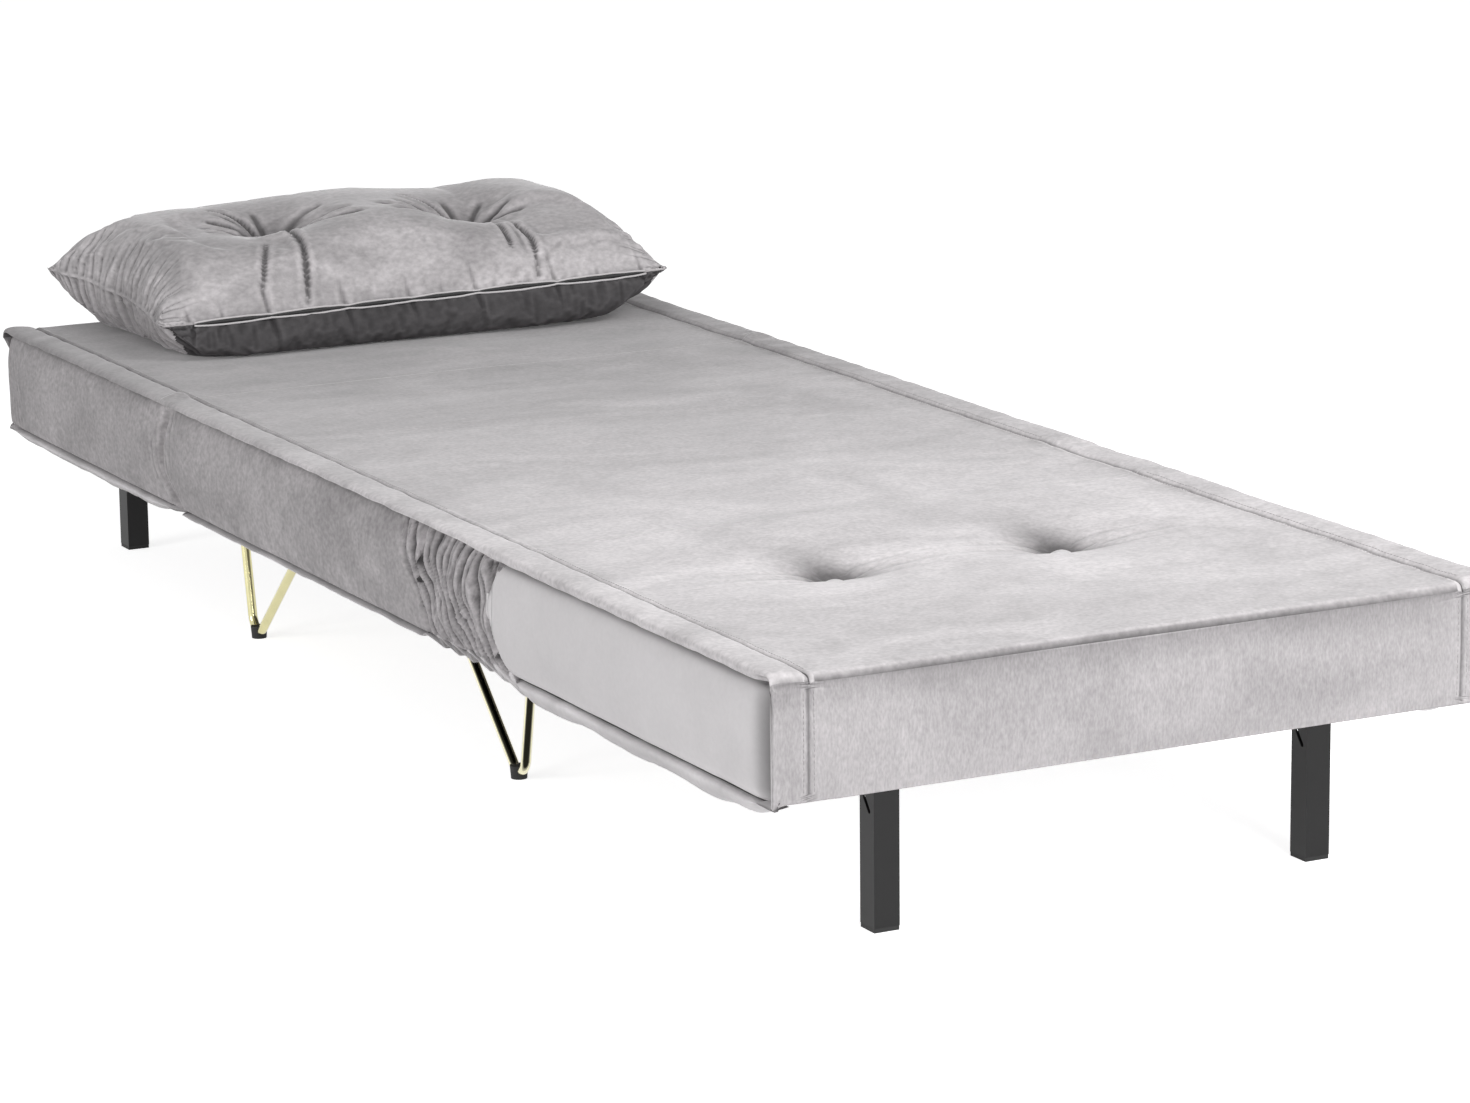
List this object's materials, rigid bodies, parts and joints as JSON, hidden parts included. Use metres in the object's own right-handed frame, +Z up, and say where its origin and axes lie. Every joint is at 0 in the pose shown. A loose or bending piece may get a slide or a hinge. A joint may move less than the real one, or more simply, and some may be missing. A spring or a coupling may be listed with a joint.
{
  "type": "sofa bed",
  "caption": "Single folding sofa bed laid flat, in velvet, with gold hairpin legs under the seat, black folding legs at both ends and a tufted pillow",
  "frame": {"origin": "on the floor, under the middle of the bed", "axes": "+X across to the sitter's left, +Y along the bed towards the tufted back section, +Z up"},
  "size_m": [0.74, 1.9, 0.4107],
  "materials": {
    "velvet": "short velvet pile with a brushed nap",
    "velvet_pale": "short velvet pile, pale where the nap lies towards the light",
    "velvet_dark": "gathered velvet",
    "foam": "upholstery foam",
    "slats": "lacquered birch",
    "frame": "black powder coat",
    "legs": "black satin powder coat",
    "fittings": "zinc plated",
    "gold": "polished pale gold plating",
    "feet": "moulded, matt",
    "zip": "coil zip and tape"
  },
  "bodies": {
    "base": {"seat_frame": "frame", "seat_slats": "slats", "seat_foam": "foam", "seat_cover": "velvet", "hairpin_front_left": "gold", "hairpin_front_right": "gold", "hairpin_rear_left": "gold", "hairpin_rear_right": "gold", "hairpin_feet": "feet", "hairpin_screws": "fittings", "recline_plate_left": "fittings", "recline_plate_right": "fittings", "recline_bolts": "fittings", "pawl_spring_left": "fittings", "pawl_spring_right": "fittings", "gusset_left": "velvet_dark", "gusset_right": "velvet_dark", "gusset_top": "velvet", "flip_pins": "fittings"},
    "pawl_left": {"pawl_left": "fittings"},
    "pawl_right": {"pawl_right": "fittings"},
    "back": {"back_frame": "frame", "back_slats": "slats", "back_foam": "foam", "back_cover": "velvet_pale", "back_buttons": "velvet_dark", "ratchet_left": "fittings", "ratchet_right": "fittings", "back_leg_lugs": "frame", "back_leg_pins": "fittings"},
    "back_leg_left": {"back_leg_left": "legs", "back_foot_left": "feet"},
    "back_leg_right": {"back_leg_right": "legs", "back_foot_right": "feet"},
    "front": {"front_frame": "frame", "front_slats": "slats", "front_foam": "foam", "front_cover": "velvet", "front_leg_lugs": "frame", "front_leg_pins": "fittings"},
    "front_leg_left": {"front_leg_left": "legs", "front_foot_left": "feet"},
    "front_leg_right": {"front_leg_right": "legs", "front_foot_right": "feet"},
    "pillow": {"pillow_cover": "velvet", "pillow_buttons": "velvet_dark", "pillow_zip": "zip"}
  },
  "joints": [
    {"name": "back_recline", "type": "hinge", "parent": "base", "child": "back", "pos_m": [0, 0.31, 0.1625], "axis": [1, 0, 0], "range_deg": [0, 75], "deforming": ["gusset_left", "gusset_right", "gusset_top"]},
    {"name": "front_flip", "type": "hinge", "parent": "base", "child": "front", "pos_m": [0, -0.45, 0.2613], "axis": [-1, 0, 0], "range_deg": [0, 180]},
    {"name": "pillow_carry", "type": "hinge", "parent": "front", "child": "pillow", "pos_m": [-0.02, -1.03565, 0.34665], "axis": [-1, 0, 0], "range_deg": [-270, 0]},
    {"name": "back_leg_left_fold", "type": "hinge", "parent": "back", "child": "back_leg_left", "pos_m": [0.224, 0.874, 0.131], "axis": [-1, 0, 0], "range_deg": [0, 90]},
    {"name": "back_leg_right_fold", "type": "hinge", "parent": "back", "child": "back_leg_right", "pos_m": [-0.224, 0.874, 0.131], "axis": [-1, 0, 0], "range_deg": [0, 90]},
    {"name": "front_leg_left_fold", "type": "hinge", "parent": "front", "child": "front_leg_left", "pos_m": [0.243, -0.883, 0.131], "axis": [1, 0, 0], "range_deg": [0, 90]},
    {"name": "front_leg_right_fold", "type": "hinge", "parent": "front", "child": "front_leg_right", "pos_m": [-0.243, -0.883, 0.131], "axis": [1, 0, 0], "range_deg": [0, 90]},
    {"name": "pawl_left_engage", "type": "hinge", "parent": "base", "child": "pawl_left", "pos_m": [0.306, 0.2486, 0.1711], "axis": [-1, 0, 0], "range_deg": [0, 13], "stiffness_Nm_per_rad": 0.05, "deforming": ["pawl_spring_left"]},
    {"name": "pawl_right_engage", "type": "hinge", "parent": "base", "child": "pawl_right", "pos_m": [-0.306, 0.2486, 0.1711], "axis": [-1, 0, 0], "range_deg": [0, 13], "stiffness_Nm_per_rad": 0.05, "deforming": ["pawl_spring_right"]}
  ],
  "couplings": [
    {"joint": "pillow_carry", "follows": "front_flip", "ratio": -1.5}
  ]
}
